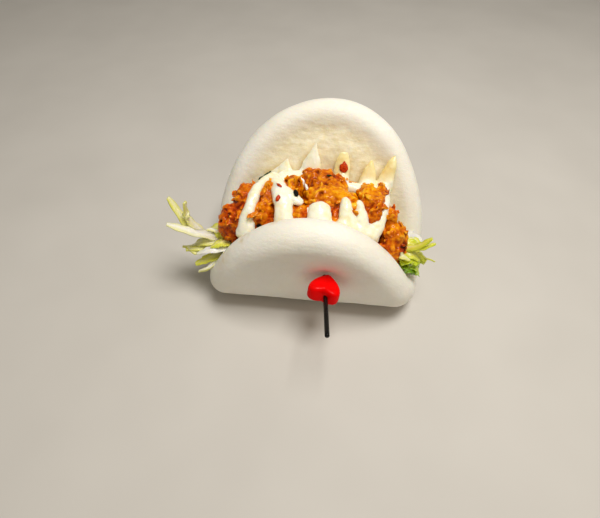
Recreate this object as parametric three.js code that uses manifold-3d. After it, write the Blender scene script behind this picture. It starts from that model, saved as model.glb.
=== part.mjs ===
// A gua bao: an oval of steamed dough folded over crispy pork, mayonnaise and shredded lettuce,
// standing on its fold and pinned through the front flap by a heart-beaded pick.
// Millimetres, +Z up, X along the fold, +Y towards the tall back flap, origin under the fold.
import * as THREE from "three";
import { mergeVertices } from "three/addons/utils/BufferGeometryUtils.js";
import Module from "manifold-3d";

const wasm = await Module();
wasm.setup();

const DEG = Math.PI / 180;
const UP = new THREE.Vector3(0, 0, 1);

// Clearances: between pieces that touch, and between pork and whatever lies on it.
const GAP = 0.35;
const PORK_SKIN = 0.6;

const colours = {
  dough: 0xefe9d8,
  crust: 0xc8641c,
  mayonnaise: 0xfaf3d4,
  lettuce: 0xb9c45a,
  leaf: 0x2f4a22,
  heart: 0xd80808,
  stick: 0x101010,
};

// The oval of dough, measured as it lay flat; the fold runs across it short of its centre.
const dough = {
  halfWidth: 50.8,
  frontReach: 58.5,
  backReach: 80.5,
  askew: 0.05,
  thickness: 16,
  sides: 54,
  rings: 7,
  edgeSteps: 6,
};

const fold = {
  baseHalfFlat: 6,
  bendRadius: 12,
  frontSteepness: 88 * DEG,
  backSteepness: 60 * DEG,
  backCurl: -0.0015,
  settling: 1.3,
};

// The moulded dip that runs round inside the lip of the back flap.
const dip = { depth: 1.3, fromEdge: 14, width: 5 };

const stick = {
  radius: 0.9,
  rise: 16 * DEG,
  swing: 4.2 * DEG,
  outside: 26.5,
  inside: 17,
};

// A thick heart with flat faces, threaded on the stick with its blunt point towards the bun.
const heart = {
  centre: [6.8, -29.6, 27.8],
  halfWidth: 6.4,
  roundness: 5.4,
  point: 3.75,
  setBack: 0.4,
  halfThickness: 3.8,
  squareness: 0.4,
  roll: -8 * DEG,
  lean: -13 * DEG,
  sides: 20,
  rings: 4,
};

// The dough is pressed in where the heart's point meets it.
const dimple = { at: [7, -27, 27], half: [8.2, 5.6, 6.4] };

// The top of the filling: highest along its crest, falling to both sides, the front and the back.
const heap = {
  height: 48.5,
  crest: [-4, 4],
  sideFall: 7,
  sideReach: 38,
  frontFall: 0.045,
  backFall: 0.0146,
};

// Pieces of pork, each one or more lumps: place in plan, height over the heap's top, half sizes
// and the seed of its crags.
const porkPieces = {
  pork_left: [
    { at: [-30, 4.6], proud: -1.4, half: [5, 8.6, 8.5], seed: 11 },
    { at: [-35.2, -1.4], proud: -2.4, half: [5.8, 7.6, 10], seed: 12 },
  ],
  pork_second: [
    { at: [-20.5, 5.5], proud: 0.2, half: [5, 7, 8.5], seed: 21 },
    { at: [-21, -2.6], proud: -1.1, half: [5.4, 6, 8.5], seed: 22 },
  ],
  pork_chunk: [{ at: [-10.2, 9.6], proud: 2, half: [4.4, 6, 8], seed: 31 }],
  pork_front: [{ at: [-5.5, -2.5], proud: -1, half: [5, 5.5, 8], seed: 32 }],
  pork_centre: [
    { at: [2.6, 14.4], proud: 1.1, half: [11.6, 7, 9], seed: 41 },
    { at: [7, 5], proud: 0.7, half: [13, 6.4, 10], seed: 42 },
    { at: [9, -3.5], proud: -1.3, half: [3.2, 5, 9], seed: 43 },
    { at: [15.8, -0.2], proud: 0.4, half: [2.2, 4.4, 6], seed: 44 },
  ],
  pork_right: [
    { at: [23, 7.4], proud: 1.8, half: [6.6, 8, 9.4], seed: 51 },
    { at: [24, 0.4], proud: 0.8, half: [3.4, 5, 7], seed: 52 },
    { at: [28.4, 12], proud: 1.8, half: [3, 4, 7], seed: 53 },
  ],
  pork_end: [
    { at: [32, 2], proud: 0.4, half: [3.4, 5.5, 9], seed: 61 },
    { at: [34.2, -4], proud: 0, half: [5.8, 5.6, 10], seed: 62 },
    { at: [32.6, -8.4], proud: -0.5, half: [6, 4.6, 9.5], seed: 63 },
  ],
};
// Squareness draws a lump from an ellipsoid, at 1, towards a box.
const crags = { count: 34, least: -0.2, span: 0.4, bluntest: 9, sharper: 20, squareness: 0.8 };
// A lump narrower than this is split into fewer faces.
const SMALL_LUMP = 5.1;

// Where the nozzle was lifted, the mayonnaise ends in a spike that leans on the back flap.
// root and tip are distances along the flap from the fold, with the width at each; a low taper
// keeps the spike wide almost to its tip.
const mayonnaiseSpikes = [
  { x: -17, lean: 2.6, root: 43, tip: 52.8, width: [17, 1], taper: 0.85 },
  { x: -4, lean: 2.2, root: 43, tip: 60.3, width: [15, 0.8], taper: 0.95 },
  { x: 10, lean: 0.9, root: 41, tip: 57, width: [9, 4.2], taper: 0.7 },
  { x: 21.8, lean: 1.6, root: 41, tip: 54.5, width: [10, 1], taper: 0.75 },
  { x: 29.4, lean: 3.8, root: 42, tip: 56.9, width: [8.4, 1.2], taper: 0.5 },
];
const spikeBody = { proud: 2.4, thick: 5.4, tipThick: 0.9 };

// Ribbons of mayonnaise over the heap: ends in plan, sideways bow, height over the heap's top at
// each end, width at each end and thickness.
const mayonnaiseRibbons = [
  { from: [-18.5, 17.5], to: [-25.6, -3], bow: -1, proud: [-1.8, -1.4], width: [5, 4.8], thick: 4.8 },
  { from: [-26.4, 0], to: [-28.2, -11.5], bow: 0, proud: [-1.6, -1.4], width: [4, 8.8], thick: 5.4 },
  { from: [-19, 14], to: [-11.6, -8.5], bow: 1, proud: [-2.4, -0.6], width: [6.8, 8.6], thick: 5.6 },
  { from: [-13.5, 4], to: [-6.4, 0.8], bow: 0, proud: [-0.8, -1], width: [7, 4.4], thick: 3.6 },
  { from: [-3.6, 20], to: [-16, 17], bow: 0, proud: [-2.4, -2.6], width: [8, 8], thick: 5 },
  { from: [10.6, 22], to: [10.4, 18], bow: 0, proud: [-1.4, -4], width: [7, 6], thick: 5 },
  { from: [22.6, 21], to: [21.4, 16.6], bow: 0, proud: [-2.4, -4.6], width: [8, 6.4], thick: 5 },
  { from: [29.2, 19.5], to: [24.4, -8.5], bow: 1.9, proud: [-1, -4], width: [4.6, 7], thick: 5 },
  { from: [2.2, -1.8], to: [2.5, -8.5], bow: 0, proud: [-1.4, 0.4], width: [9.2, 11], thick: 6 },
  { from: [12.4, 0.6], to: [14.6, -8.5], bow: 0, proud: [-0.6, -1], width: [4, 9.6], thick: 5.4 },
  { from: [18.2, 0.4], to: [20, -8.5], bow: 0, proud: [-1.4, -2.4], width: [3.6, 9.6], thick: 5.6 },
  { from: [12, -6.6], to: [25, -7.4], bow: 0, proud: [-1.6, -3.8], width: [8, 8], thick: 7 },
  { from: [-14, -7.5], to: [12, -7.5], bow: 0, proud: [-2.4, -3], width: [6.4, 6.4], thick: 6 },
  { from: [-14, 17], to: [31, 16], bow: 0, proud: [-4.6, -5], width: [6, 6], thick: 5 },
];

const sesame = { at: [-8.1, 2, 48.2], half: [1.1, 2.3, 0.8], turn: 25 * DEG };
const herbFleck = { at: [5.4, 13.8, 47.4], half: [0.7, 1.5, 0.7], turn: -20 * DEG };
const chiliFlakes = [
  { at: [11.3, 22.8, 47.3], half: [1.6, 0.9, 2.3], turn: 10 * DEG },
  { at: [-16, 5.8, 48.6], half: [1.5, 0.8, 0.8], turn: -35 * DEG },
  { at: [-14.8, -0.4, 48.4], half: [0.9, 1.4, 0.8], turn: 20 * DEG },
];

// The lettuce lies as a bed under the pork and sticks out at both ends of the fold.
const lettuceBed = {
  halfLength: 47,
  centre: [0, 1, 23.5],
  sag: 3.5,
  width: 17,
  thick: 16,
  fullShare: 0.85,
  endShare: 0.55,
};

// Shreds run from a root in the bed, over a middle point, to a free end.
const lettuceShreds = [
  { from: [-42, -2, 22], over: [-51, -9.6, 33.4], to: [-61, -11.5, 39.2], width: 5.4 },
  { from: [-44, -3, 24], over: [-53.2, -6, 32.5], to: [-61.5, -2.5, 45.8], width: 5.6 },
  { from: [-49, -5, 28], over: [-53.4, -6, 38], to: [-53, -6, 47.3], width: 4.6 },
  { from: [-38, -3.5, 23], over: [-46, -9, 24], to: [-55.5, -13, 25], width: 4.6 },
  { from: [-38, -1, 21], over: [-48, -7, 21], to: [-58.2, -10, 23.4], width: 4.4 },
  { from: [-40, -8, 20], over: [-45, -16, 18.2], to: [-49.9, -18, 16.8], width: 2.6 },
  { from: [-38, 3, 23], over: [-44, -3, 24.4], to: [-49, -7, 24], width: 6 },
  { from: [38, -3, 25], over: [44.5, -6, 30], to: [49.8, -6, 35.9], width: 3.8 },
  { from: [38, -2, 24], over: [45.8, -6, 29.4], to: [51.9, -6, 32.9], width: 4.4 },
  { from: [45, 1, 20], over: [44.4, 3, 24.4], to: [41, 3, 28.6], width: 6.5 },
];
// Torn leaves: the green one at the right, and the dark sliver behind the left ribbon.
const tornLeaves = [
  { from: [38, -2, 23], over: [44.4, -8, 22.5], to: [48, -10.5, 16.6], width: 9 },
  { from: [38, 0, 22], over: [45, -4, 24], to: [50, -6.5, 20.5], width: 6 },
];
const leafStrip = { from: [-28.5, 17, 33.5], over: [-25.2, 20, 38.6], to: [-20, 23, 43.8], width: 4.4 };
const strips = { thick: 1.2, leafThick: 0.9, steps: 4, ripple: 0.5, ripples: 2, narrowing: 0.65 };

function seededRandom(seed) {
  let state = seed * 2654435761;
  return () => {
    state = (state + 0x6d2b79f5) | 0;
    let t = Math.imul(state ^ (state >>> 15), 1 | state);
    t = (t + Math.imul(t ^ (t >>> 7), 61 | t)) ^ t;
    return ((t ^ (t >>> 14)) >>> 0) / 2 ** 32;
  };
}

function geometryFrom(points, triangles) {
  const geometry = new THREE.BufferGeometry();
  geometry.setAttribute("position", new THREE.Float32BufferAttribute(points.flat(), 3));
  geometry.setIndex(triangles);
  return geometry;
}

function toSolid(geometry) {
  const bare = geometry.clone();
  bare.deleteAttribute("normal");
  bare.deleteAttribute("uv");
  const merged = mergeVertices(bare, 1e-4);
  const mesh = new wasm.Mesh({
    numProp: 3,
    vertProperties: new Float32Array(merged.attributes.position.array),
    triVerts: new Uint32Array(merged.index.array),
  });
  return new wasm.Manifold(mesh);
}

function toGeometry(solid) {
  const mesh = solid.getMesh();
  const geometry = new THREE.BufferGeometry();
  geometry.setAttribute("position", new THREE.BufferAttribute(mesh.vertProperties, 3));
  geometry.setIndex(new THREE.BufferAttribute(mesh.triVerts, 1));
  return geometry;
}

function joinAll(solids) {
  return solids.reduce((whole, solid) => whole.add(solid));
}

// The largest of the separate bodies in a solid, without any scraps a cut left loose.
function mainBody(solid) {
  return solid.decompose().reduce((a, b) => (a.volume() > b.volume() ? a : b));
}

// A place and heading on a plane curve, carried on for a length at one curvature.
function carryOn(from, length, curvature) {
  const heading = from.heading + curvature * length;
  if (curvature === 0) {
    const y = from.y + length * Math.cos(heading);
    const z = from.z + length * Math.sin(heading);
    return { y, z, heading };
  }
  return {
    y: from.y + (Math.sin(heading) - Math.sin(from.heading)) / curvature,
    z: from.z - (Math.cos(heading) - Math.cos(from.heading)) / curvature,
    heading,
  };
}

// The middle of the dough's thickness in the YZ plane, by distance along from the fold.
function middleLine(along) {
  const back = along >= 0;
  const stretches = [
    [fold.baseHalfFlat, 0],
    [fold.bendRadius * (back ? fold.backSteepness : fold.frontSteepness), 1 / fold.bendRadius],
    [Infinity, back ? fold.backCurl : 0],
  ];
  let left = Math.abs(along);
  let place = { y: 0, z: dough.thickness / 2, heading: 0 };
  for (const [length, curvature] of stretches) {
    const step = Math.min(left, length);
    place = carryOn(place, step, curvature);
    left -= step;
  }
  const side = back ? 1 : -1;
  return {
    y: side * place.y,
    z: place.z,
    inY: -side * Math.sin(place.heading),
    inZ: Math.cos(place.heading),
  };
}

// The dough is hand rolled, so its outline wanders a little from an oval.
function outlineWander(angle) {
  return 1 + 0.006 * Math.sin(3 * angle + 0.7) + 0.005 * Math.sin(5 * angle + 2.1);
}

// Thickness stands at `level` 1 on the filling's side and -1 on the outside of the bun.
function doughPoint(angle, share, level, skin) {
  const halfLength = (dough.frontReach + dough.backReach) / 2;
  const centre = (dough.backReach - dough.frontReach) / 2;
  const wander = outlineWander(angle);
  const edgeX = (dough.halfWidth * wander + skin) * Math.cos(angle);
  const edgeAlong = (halfLength * wander + skin) * Math.sin(angle);
  const fromEdge = (1 - share) * Math.hypot(edgeX, edgeAlong);
  const line = middleLine(centre + edgeAlong * share);
  const dent = level > 0 ? dip.depth * Math.exp(-(((fromEdge - dip.fromEdge) / dip.width) ** 2)) : 0;
  const out = level * (dough.thickness / 2 + skin) - dent;
  const z = line.z + line.inZ * out - fold.settling;
  const x = edgeX * share + dough.askew * Math.max(0, centre + edgeAlong * share);
  return [x, line.y + line.inY * out, Math.max(z, -skin)];
}

// From the pole on the filling's side, over the rounded edge, to the pole on the outside.
function doughMeridian(angle) {
  const halfLength = (dough.frontReach + dough.backReach) / 2;
  const reach = Math.hypot(dough.halfWidth * Math.cos(angle), halfLength * Math.sin(angle));
  const flatShare = 1 - dough.thickness / 2 / reach;
  const across = [];
  for (let i = 1; i <= dough.rings; i++) across.push((flatShare * i) / dough.rings);
  const steps = across.map((share) => [share, 1]);
  for (let i = 1; i < dough.edgeSteps; i++) {
    const turn = (Math.PI * i) / dough.edgeSteps;
    steps.push([flatShare + (1 - flatShare) * Math.sin(turn), Math.cos(turn)]);
  }
  return steps.concat(across.reverse().map((share) => [share, -1]));
}

function doughGeometry(skin = 0) {
  const points = [doughPoint(0, 0, 1, skin), doughPoint(0, 0, -1, skin)];
  const columns = [];
  for (let j = 0; j < dough.sides; j++) {
    const angle = (2 * Math.PI * j) / dough.sides;
    columns.push(doughMeridian(angle).map(([share, level]) => {
      points.push(doughPoint(angle, share, level, skin));
      return points.length - 1;
    }));
  }
  const triangles = [];
  columns.forEach((a, j) => {
    const b = columns[(j + 1) % dough.sides];
    const last = a.length - 1;
    triangles.push(0, a[0], b[0], 1, b[last], a[last]);
    for (let i = 0; i < last; i++) {
      triangles.push(a[i], a[i + 1], b[i + 1], a[i], b[i + 1], b[i]);
    }
  });
  return geometryFrom(points, triangles);
}

// A point on the heap's top over a place in plan, raised by `proud`.
function onHeap(x, y, proud) {
  const alongside = Math.abs(x - heap.crest[0]) / heap.sideReach;
  const fromCrest = y - heap.crest[1];
  const fall = (fromCrest < 0 ? heap.frontFall : heap.backFall) * fromCrest ** 2;
  return [x, y, heap.height + proud - heap.sideFall * alongside ** 4 - fall];
}

// A point in front of the back flap's inner face, by distance along it from the fold.
function onBackFlap(x, along, proud) {
  const line = middleLine(along);
  const out = dough.thickness / 2 + proud;
  return [x, line.y + line.inY * out, line.z + line.inZ * out - fold.settling];
}

// A rounded box's profile: near 0 the squareness gives crisp edges, at 1 an ellipsoid.
function squared(value, squareness) {
  return Math.sign(value) * Math.abs(value) ** squareness;
}

// A ball pushed in and out by bumps at random places, stretched to its half sizes.
function lumpGeometry({ at, proud, half, seed }, skin = 0) {
  const random = seededRandom(seed);
  const bumps = [];
  for (let i = 0; i < crags.count; i++) {
    const towards = new THREE.Vector3(random() - 0.5, random() - 0.5, random() - 0.5).normalize();
    const push = crags.least + crags.span * random();
    bumps.push({ towards, push, sharpness: crags.bluntest + crags.sharper * random() });
  }
  const ball = new THREE.IcosahedronGeometry(1, Math.min(...half) < SMALL_LUMP ? 2 : 3);
  const centre = onHeap(...at, proud - half[2]);
  const position = ball.attributes.position;
  const way = new THREE.Vector3();
  for (let i = 0; i < position.count; i++) {
    way.fromBufferAttribute(position, i).normalize();
    let radius = 1;
    for (const bump of bumps) {
      radius += bump.push * Math.exp(-bump.sharpness * (1 - way.dot(bump.towards)));
    }
    const place = way.toArray().map((part, axis) => {
      return centre[axis] + squared(part, crags.squareness) * (half[axis] * radius + skin);
    });
    position.setXYZ(i, ...place);
  }
  return ball;
}

// Joins rings of as many points each into one closed skin, with a fan over each end.
function skinOver(rings, tips) {
  const sides = rings[0].length;
  const points = [...rings.flat(), ...tips];
  const triangles = [];
  for (let i = 0; i + 1 < rings.length; i++) {
    for (let j = 0; j < sides; j++) {
      const next = (j + 1) % sides;
      const [a, b] = [i * sides + j, i * sides + next];
      triangles.push(a, b + sides, b, a, a + sides, b + sides);
    }
  }
  const [start, end] = [points.length - 2, points.length - 1];
  const lastRing = (rings.length - 1) * sides;
  for (let j = 0; j < sides; j++) {
    const next = (j + 1) % sides;
    triangles.push(start, j, next, end, lastRing + next, lastRing + j);
  }
  return geometryFrom(points, triangles);
}

// The point at a share of a curve's length, and the directions along, across and over it there.
function frameAlong(path, t) {
  const along = path.getTangent(t);
  const across = new THREE.Vector3().crossVectors(along, UP).normalize();
  const over = new THREE.Vector3().crossVectors(across, along);
  return { centre: path.getPoint(t), along, across, over };
}

// A soft rounded ribbon through stations of a point, a width and a thickness.
function ribbonGeometry(stations, steps, sides) {
  const path = new THREE.CatmullRomCurve3(stations.map(({ at }) => new THREE.Vector3(...at)));
  const sizes = new THREE.CatmullRomCurve3(
    stations.map(({ width, thick }) => new THREE.Vector3(width / 2, thick / 2, 0)),
  );
  const rings = [];
  for (let i = 0; i <= steps; i++) {
    const { centre, across, over } = frameAlong(path, i / steps);
    const size = sizes.getPoint(i / steps);
    const ring = [];
    for (let j = 0; j < sides; j++) {
      const turn = (2 * Math.PI * j) / sides;
      const point = centre.clone().addScaledVector(across, size.x * Math.cos(turn));
      ring.push(point.addScaledVector(over, size.y * Math.sin(turn)).toArray());
    }
    rings.push(ring);
  }
  const roundEnd = 0.6;
  const tips = [0, 1].map((t) => {
    const outward = (t === 0 ? -roundEnd : roundEnd) * sizes.getPoint(t).y;
    const { centre, along } = frameAlong(path, t);
    return centre.addScaledVector(along, outward).toArray();
  });
  return skinOver(rings, tips);
}

// A thin wavy strip, wide in the middle and narrow at its free end, both faces split alike.
function stripGeometry({ from, over, to, width }, thick, cells, skin = 0) {
  const path = new THREE.CatmullRomCurve3([from, over, to].map((point) => new THREE.Vector3(...point)));
  const half = thick / 2 + skin;
  const rings = [];
  for (let i = 0; i <= strips.steps; i++) {
    const t = i / strips.steps;
    const frame = frameAlong(path, t);
    const halfWidth = (width / 2) * (1 - strips.narrowing * t ** 2) + skin;
    const face = (side) => (share) => {
      const wave = strips.ripple * Math.sin(2 * Math.PI * (strips.ripples * t + share));
      const point = frame.centre.clone().addScaledVector(frame.across, halfWidth * (2 * share - 1));
      return point.addScaledVector(frame.over, wave + side * half).toArray();
    };
    const shares = Array.from({ length: cells + 1 }, (_, j) => j / cells);
    rings.push([...shares.map(face(-1)), ...shares.reverse().map(face(1))]);
  }
  const middle = (ring) => [0, 1, 2].map((axis) => {
    return ring.reduce((sum, point) => sum + point[axis], 0) / ring.length;
  });
  return skinOver(rings, [middle(rings[0]), middle(rings[strips.steps])]);
}

// A turned ellipsoid, for a seed, a flake or the dimple.
function grainGeometry({ at, half, turn = 0 }) {
  const grain = new THREE.SphereGeometry(1, 7, 5);
  return grain.scale(...half).rotateZ(turn).translate(...at);
}

// Carries a shape made along +Y, outwards from the origin, onto the line of the stick.
function ontoStick(geometry, roll = 0) {
  const [x, y, z] = heart.centre;
  return geometry.rotateY(roll).rotateX(stick.rise).rotateZ(Math.PI + stick.swing).translate(x, y, z);
}

function rodGeometry(radius, from, to) {
  const rod = new THREE.CylinderGeometry(radius, radius, to - from, 14, 1);
  return ontoStick(rod.translate(0, (from + to) / 2, 0));
}

// The outline of a heart, its notch at turn 0 and its point half way round: an oval pushed out
// along both sides, which draws one end into a wedge and folds the other in.
function heartOutline(turn) {
  const along = heart.roundness * Math.cos(turn) + heart.point * Math.abs(Math.sin(turn));
  return [heart.halfWidth * Math.sin(turn), along - heart.setBack];
}

function heartGeometry() {
  const points = [[0, 0, heart.halfThickness], [0, 0, -heart.halfThickness]];
  const loops = [];
  for (let i = 1; i < 2 * heart.rings; i++) {
    const tilt = (Math.PI * i) / (2 * heart.rings);
    const spread = squared(Math.sin(tilt), heart.squareness);
    const height = heart.halfThickness * squared(Math.cos(tilt), heart.squareness);
    const loop = [];
    for (let j = 0; j < heart.sides; j++) {
      const [x, y] = heartOutline((2 * Math.PI * j) / heart.sides);
      loop.push(points.length);
      points.push([x * spread, y * spread, height]);
    }
    loops.push(loop);
  }
  const triangles = [];
  const last = loops.length - 1;
  for (let j = 0; j < heart.sides; j++) {
    const k = (j + 1) % heart.sides;
    triangles.push(0, loops[0][k], loops[0][j], 1, loops[last][j], loops[last][k]);
    for (let i = 0; i < last; i++) {
      const [a, b, c, d] = [loops[i][j], loops[i][k], loops[i + 1][k], loops[i + 1][j]];
      triangles.push(a, b, c, a, c, d);
    }
  }
  return ontoStick(geometryFrom(points, triangles).rotateZ(heart.lean), heart.roll);
}

function lumpSolid(lumps, skin) {
  return joinAll(lumps.map((lump) => toSolid(lumpGeometry(lump, skin))));
}

function grains(list) {
  return joinAll(list.map((grain) => toSolid(grainGeometry(grain))));
}

// Every piece of pork is cut back from the bun and from the pieces before it.
function makePork(clearBun) {
  const pieces = {};
  let taken = clearBun;
  for (const [name, lumps] of Object.entries(porkPieces)) {
    pieces[name] = mainBody(lumpSolid(lumps, 0).subtract(taken));
    taken = taken.add(lumpSolid(lumps, PORK_SKIN));
  }
  return { pieces, taken };
}

function makeLettuce(taken) {
  const { halfLength, centre, sag, width, thick, fullShare, endShare } = lettuceBed;
  const stations = [-1, -fullShare, 0, fullShare, 1].map((share) => {
    const narrowing = Math.abs(share) === 1 ? endShare : 1;
    const at = [centre[0] + share * halfLength, centre[1] - share ** 2, centre[2] - sag * share ** 2];
    return { at, width: width * narrowing, thick: thick * narrowing };
  });
  const bed = toSolid(ribbonGeometry(stations, 8, 8));
  const shreds = lettuceShreds.map((shred) => toSolid(stripGeometry(shred, strips.thick, 2)));
  const leaves = tornLeaves.map((leaf) => toSolid(stripGeometry(leaf, strips.leafThick, 4)));
  return mainBody(joinAll([bed, ...shreds, ...leaves]).subtract(taken));
}

function spikeStations({ x, lean, root, tip, width, taper }) {
  return [0, 0.4, 0.75, 1].map((share) => {
    const along = root + (tip - root) * share;
    const at = onBackFlap(x + lean * share, along, spikeBody.proud);
    const narrow = (wide, fine) => fine + (wide - fine) * (1 - share) ** taper;
    return { at, width: narrow(...width), thick: narrow(spikeBody.thick, spikeBody.tipThick) };
  });
}

function ribbonStations({ from, to, bow, proud, width, thick }) {
  const length = Math.hypot(to[0] - from[0], to[1] - from[1]);
  const steps = Math.max(2, Math.round(length / 5));
  const stations = [];
  for (let i = 0; i <= steps; i++) {
    const share = i / steps;
    const mix = ([first, last]) => first + (last - first) * share;
    const x = mix([from[0], to[0]]) + bow * Math.sin(Math.PI * share);
    stations.push({ at: onHeap(x, mix([from[1], to[1]]), mix(proud)), width: mix(width), thick });
  }
  return stations;
}

function makeMayonnaise(taken) {
  const spikes = mayonnaiseSpikes.map(spikeStations);
  const ribbons = mayonnaiseRibbons.map(ribbonStations);
  const solids = [...spikes, ...ribbons].map((stations) => {
    return toSolid(ribbonGeometry(stations, Math.max(3, stations.length - 1), 6));
  });
  return mainBody(joinAll(solids).subtract(taken)).add(grains([sesame, ...chiliFlakes]));
}

const hole = toSolid(rodGeometry(stick.radius + GAP, -stick.inside - GAP, stick.outside));
const hollow = toSolid(grainGeometry(dimple));
const bun = toSolid(doughGeometry()).subtract(hole).subtract(hollow);
const pork = makePork(toSolid(doughGeometry(GAP)));
pork.pieces.pork_centre = pork.pieces.pork_centre.add(grains([herbFleck]));
const leafSliver = toSolid(stripGeometry(leafStrip, strips.leafThick, 2)).subtract(pork.taken);
const clearLeaf = toSolid(stripGeometry(leafStrip, strips.leafThick, 2, GAP));
const lettuce = makeLettuce(pork.taken);
const mayonnaise = makeMayonnaise(pork.taken.add(clearLeaf));
const heartBead = toSolid(heartGeometry()).subtract(hole);
const stickRod = toSolid(rodGeometry(stick.radius, -stick.inside, stick.outside));

const part = new THREE.Group();

function addPiece(name, solid, color, roughness) {
  const material = new THREE.MeshStandardMaterial({ color, roughness, metalness: 0 });
  const mesh = new THREE.Mesh(toGeometry(solid), material);
  mesh.name = name;
  part.add(mesh);
}

addPiece("bun", bun, colours.dough, 0.55);
for (const [name, solid] of Object.entries(pork.pieces)) addPiece(name, solid, colours.crust, 0.6);
addPiece("mayonnaise", mayonnaise, colours.mayonnaise, 0.3);
addPiece("shredded_lettuce", lettuce, colours.lettuce, 0.5);
addPiece("leaf_strip", leafSliver, colours.leaf, 0.5);
addPiece("pick_heart", heartBead, colours.heart, 0.25);
addPiece("pick_stick", stickRod, colours.stick, 0.3);

export default part;
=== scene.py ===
"""A gua bao with crispy pork, mayonnaise and shredded lettuce, pinned by a heart-beaded pick.

Shapes are worked out in millimetres in the part's own frame and scaled to metres as the meshes
are made.
"""

import math

import bmesh
import bpy
import numpy as np
from mathutils import Matrix, Vector, noise
from mathutils.bvhtree import BVHTree


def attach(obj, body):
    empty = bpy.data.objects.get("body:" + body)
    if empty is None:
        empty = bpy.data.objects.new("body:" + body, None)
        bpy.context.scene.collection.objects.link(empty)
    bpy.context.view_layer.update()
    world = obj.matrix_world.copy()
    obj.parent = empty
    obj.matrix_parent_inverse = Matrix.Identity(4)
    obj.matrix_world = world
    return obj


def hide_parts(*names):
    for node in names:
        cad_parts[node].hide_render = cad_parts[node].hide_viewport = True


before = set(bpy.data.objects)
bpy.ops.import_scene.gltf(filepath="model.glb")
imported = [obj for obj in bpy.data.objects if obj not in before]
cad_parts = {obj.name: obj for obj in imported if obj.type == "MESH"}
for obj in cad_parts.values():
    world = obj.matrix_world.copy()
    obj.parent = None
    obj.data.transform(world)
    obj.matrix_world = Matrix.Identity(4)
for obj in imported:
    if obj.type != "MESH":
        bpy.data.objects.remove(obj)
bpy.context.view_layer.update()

MM = 0.001
DEG = math.pi / 180
UP = np.array([0.0, 0.0, 1.0])

# Blender's noise changes from run to run unless it is seeded.
NOISE_SEED = 4
LETTUCE_SEED = 7
SLIVER_SEED = 3
CRUMB_SEED = 23
FIRST_PORK_SEED = 101

# The oval of dough as it lay flat, in millimetres, and how it is folded.
HALF_WIDTH = 50.8
FRONT_REACH = 58.5
BACK_REACH = 80.5
HALF_LENGTH = (FRONT_REACH + BACK_REACH) / 2
ASKEW = 0.05
THICKNESS = 16.0
BASE_HALF_FLAT = 6.0
BEND_RADIUS = 12.0
FRONT_STEEPNESS = 88 * DEG
BACK_STEEPNESS = 60 * DEG
BACK_CURL = -0.0015
SETTLING = 1.3
DIP = {"depth": 1.3, "from_edge": 14.0, "width": 5.0}
RIM_BAND = 9.0
BUN_COLUMNS = 440
INNER_RINGS = 100
EDGE_RINGS = 16
OUTER_RINGS = 70

# Smudges of oil on the front lip, the first one real and the others, at the lip's ends, partly real
# tan and partly painted warm shade: place, radius and strength.
STAINS_AND_SHADE = (
    ((-13.5, -17, 45), 3.0, 1.2), ((-25, -18, 38), 5.0, 0.7), ((-36, -20, 30), 7.0, 0.5),
    ((30, -16, 36), 5.0, 0.4),
)
# Tan in the dough next to the sauce, partly oil soaked out of it and partly painted contact shade:
# how far and how much.
OIL_AND_SHADE_REACH = 3.2
OIL_AND_SHADE_STRENGTH = 0.9

# The stick and the heart threaded on it.
HEART_AT = np.array([6.8, -29.6, 27.8])
HEART_HALF_WIDTH = 6.4
HEART_ROUNDNESS = 5.4
HEART_POINT = 3.75
HEART_SET_BACK = 0.4
HEART_HALF_THICKNESS = 3.8
HEART_ROLL = -8 * DEG
HEART_LEAN = -13 * DEG
# Powers that flatten the bead's faces and soften its edges, and the fall of each face.
HEART_SIDE_POWER = 0.36
HEART_FACE_POWER = 0.42
HEART_FALL = 0.12
STICK_RISE = 16 * DEG
STICK_SWING = 4.2 * DEG
STICK_RADIUS = 0.9
STICK_INSIDE = 17.0
STICK_OUTSIDE = 26.5
# The dent that the heart presses into the front flap: its middle in x and z, size and depth.
DIMPLE = {"at": (7.0, 27.0), "half": (7.6, 6.0), "push": 4.4}

# The top of the filling, from which the sauce is placed.
HEAP_HEIGHT = 48.5
HEAP_CREST = (-4.0, 4.0)
HEAP_SIDE_FALL = 7.0
HEAP_SIDE_REACH = 38.0
HEAP_FRONT_FALL = 0.045
HEAP_BACK_FALL = 0.0146

PORK_NODES = (
    "pork_left", "pork_second", "pork_chunk", "pork_front", "pork_centre", "pork_right", "pork_end",
)

# Spikes where the nozzle was lifted: x, lean, root and tip along the back flap, width at each
# end and taper, which keeps a spike wide almost to its tip where it is low.
SPIKES = (
    (-16.7, 2.5, 42.4, 53.0, (16.0, 1.0), 0.95),
    (-4.0, 2.2, 43.0, 60.3, (15.0, 0.8), 0.95),
    (10.0, 0.9, 41.0, 57.0, (9.0, 4.2), 0.7),
    (21.8, 1.6, 41.0, 54.5, (10.0, 1.0), 0.75),
    (29.4, 3.8, 42.0, 56.9, (8.4, 1.2), 0.5),
)
SPIKE_PROUD = 2.4
SPIKE_THICK = (5.4, 0.9)

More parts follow.
